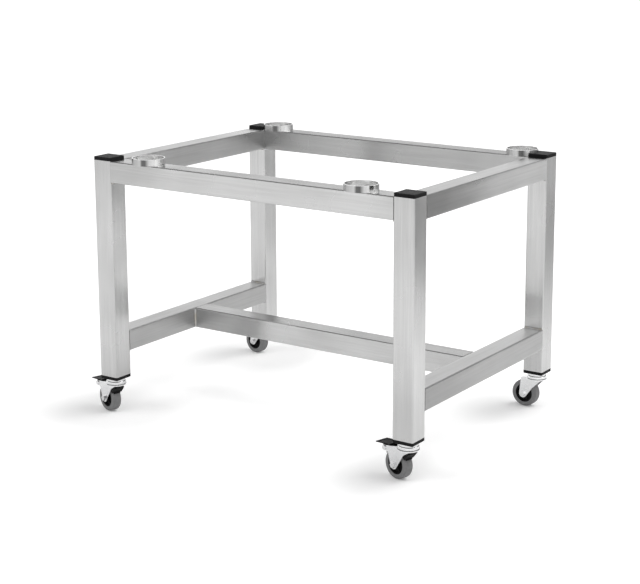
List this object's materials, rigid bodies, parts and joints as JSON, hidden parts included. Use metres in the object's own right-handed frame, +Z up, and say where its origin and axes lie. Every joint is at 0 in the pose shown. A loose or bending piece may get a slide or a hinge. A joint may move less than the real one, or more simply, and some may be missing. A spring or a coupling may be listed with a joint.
{
  "type": "mobile oven stand",
  "caption": "Low outdoor oven stand: a welded square-tube frame with an H of stretchers near the floor, cups for the oven's feet on top, and small swivel castors, the front ones with brakes.",
  "frame": {"origin": "on the floor under the middle of the frame", "axes": "+X along the long side to the right, +Z up, -Y towards the front, where the braked castors are"},
  "size_m": [0.7393, 0.53, 0.5002],
  "materials": {
    "stainless_tube": "satin, brushed along each tube",
    "stainless_ring": "satin, brushed round the ring",
    "plug_plastic": "fine moulded grain",
    "zinc_plate": "bright zinc plate",
    "ball_steel": "bright",
    "wheel_plastic": "moulded",
    "grey_rubber": "soft thermoplastic rubber",
    "pedal_plastic": "moulded"
  },
  "bodies": {
    "frame": {"leg_front_left": "stainless_tube", "leg_front_right": "stainless_tube", "leg_rear_left": "stainless_tube", "leg_rear_right": "stainless_tube", "top_rail_front": "stainless_tube", "top_rail_rear": "stainless_tube", "top_rail_left": "stainless_tube", "top_rail_right": "stainless_tube", "side_stretcher_left": "stainless_tube", "side_stretcher_right": "stainless_tube", "centre_stretcher": "stainless_tube", "weld_beads": "stainless_tube", "foot_ring_front_left": "stainless_ring", "top_plug_front_left": "plug_plastic", "stem_socket_front_left": "plug_plastic", "castor_stem_front_left": "zinc_plate", "swivel_head_front_left": "zinc_plate", "bearing_balls_front_left": "ball_steel", "foot_ring_front_right": "stainless_ring", "top_plug_front_right": "plug_plastic", "stem_socket_front_right": "plug_plastic", "castor_stem_front_right": "zinc_plate", "swivel_head_front_right": "zinc_plate", "bearing_balls_front_right": "ball_steel", "foot_ring_rear_left": "stainless_ring", "top_plug_rear_left": "plug_plastic", "stem_socket_rear_left": "plug_plastic", "castor_stem_rear_left": "zinc_plate", "swivel_head_rear_left": "zinc_plate", "bearing_balls_rear_left": "ball_steel", "foot_ring_rear_right": "stainless_ring", "top_plug_rear_right": "plug_plastic", "stem_socket_rear_right": "plug_plastic", "castor_stem_rear_right": "zinc_plate", "swivel_head_rear_right": "zinc_plate", "bearing_balls_rear_right": "ball_steel"},
    "castor_front_left": {"fork_front_left": "zinc_plate", "axle_front_left": "ball_steel", "brake_rivet_front_left": "ball_steel"},
    "wheel_front_left": {"wheel_core_front_left": "wheel_plastic", "tyre_front_left": "grey_rubber"},
    "pedal_front_left": {"brake_pedal_front_left": "pedal_plastic"},
    "strap_front_left": {"brake_strap_front_left": "pedal_plastic"},
    "castor_front_right": {"fork_front_right": "zinc_plate", "axle_front_right": "ball_steel", "brake_rivet_front_right": "ball_steel"},
    "wheel_front_right": {"wheel_core_front_right": "wheel_plastic", "tyre_front_right": "grey_rubber"},
    "pedal_front_right": {"brake_pedal_front_right": "pedal_plastic"},
    "strap_front_right": {"brake_strap_front_right": "pedal_plastic"},
    "castor_rear_left": {"fork_rear_left": "zinc_plate", "axle_rear_left": "ball_steel"},
    "wheel_rear_left": {"wheel_core_rear_left": "wheel_plastic", "tyre_rear_left": "grey_rubber"},
    "castor_rear_right": {"fork_rear_right": "zinc_plate", "axle_rear_right": "ball_steel"},
    "wheel_rear_right": {"wheel_core_rear_right": "wheel_plastic", "tyre_rear_right": "grey_rubber"}
  },
  "joints": [
    {"name": "swivel_front_left", "type": "hinge", "parent": "frame", "child": "castor_front_left", "pos_m": [-0.325, -0.235, 0.06], "axis": [0, 0, 1], "continuous": true},
    {"name": "wheel_spin_front_left", "type": "hinge", "parent": "castor_front_left", "child": "wheel_front_left", "pos_m": [-0.34705, -0.22847, 0.026], "axis": [-0.284, -0.9588, 0], "continuous": true},
    {"name": "pedal_press_front_left", "type": "hinge", "parent": "castor_front_left", "child": "pedal_front_left", "pos_m": [-0.36911, -0.22193, 0.0508], "axis": [-0.284, -0.9588, 0], "range_deg": [0, 18]},
    {"name": "strap_drop_front_left", "type": "slide", "parent": "castor_front_left", "child": "strap_front_left", "axis": [0, 0, -1], "range_m": [0, 0.0009]},
    {"name": "swivel_front_right", "type": "hinge", "parent": "frame", "child": "castor_front_right", "pos_m": [0.325, -0.235, 0.06], "axis": [0, 0, 1], "continuous": true},
    {"name": "wheel_spin_front_right", "type": "hinge", "parent": "castor_front_right", "child": "wheel_front_right", "pos_m": [0.30283, -0.22889, 0.026], "axis": [-0.2656, -0.9641, 0], "continuous": true},
    {"name": "pedal_press_front_right", "type": "hinge", "parent": "castor_front_right", "child": "pedal_front_right", "pos_m": [0.28065, -0.22278, 0.0508], "axis": [-0.2656, -0.9641, 0], "range_deg": [0, 18]},
    {"name": "strap_drop_front_right", "type": "slide", "parent": "castor_front_right", "child": "strap_front_right", "axis": [0, 0, -1], "range_m": [0, 0.0009]},
    {"name": "swivel_rear_left", "type": "hinge", "parent": "frame", "child": "castor_rear_left", "pos_m": [-0.325, 0.235, 0.06], "axis": [0, 0, 1], "continuous": true},
    {"name": "wheel_spin_rear_left", "type": "hinge", "parent": "castor_rear_left", "child": "wheel_rear_left", "pos_m": [-0.34774, 0.23844, 0.026], "axis": [-0.1495, -0.9888, 0], "continuous": true},
    {"name": "swivel_rear_right", "type": "hinge", "parent": "frame", "child": "castor_rear_right", "pos_m": [0.325, 0.235, 0.06], "axis": [0, 0, 1], "continuous": true},
    {"name": "wheel_spin_rear_right", "type": "hinge", "parent": "castor_rear_right", "child": "wheel_rear_right", "pos_m": [0.30201, 0.23584, 0.026], "axis": [-0.0366, -0.9993, 0], "continuous": true}
  ],
  "couplings": [
    {"joint": "strap_drop_front_left", "follows": "pedal_press_front_left", "m_per_rad": 0.0028648},
    {"joint": "strap_drop_front_right", "follows": "pedal_press_front_right", "m_per_rad": 0.0028648}
  ]
}
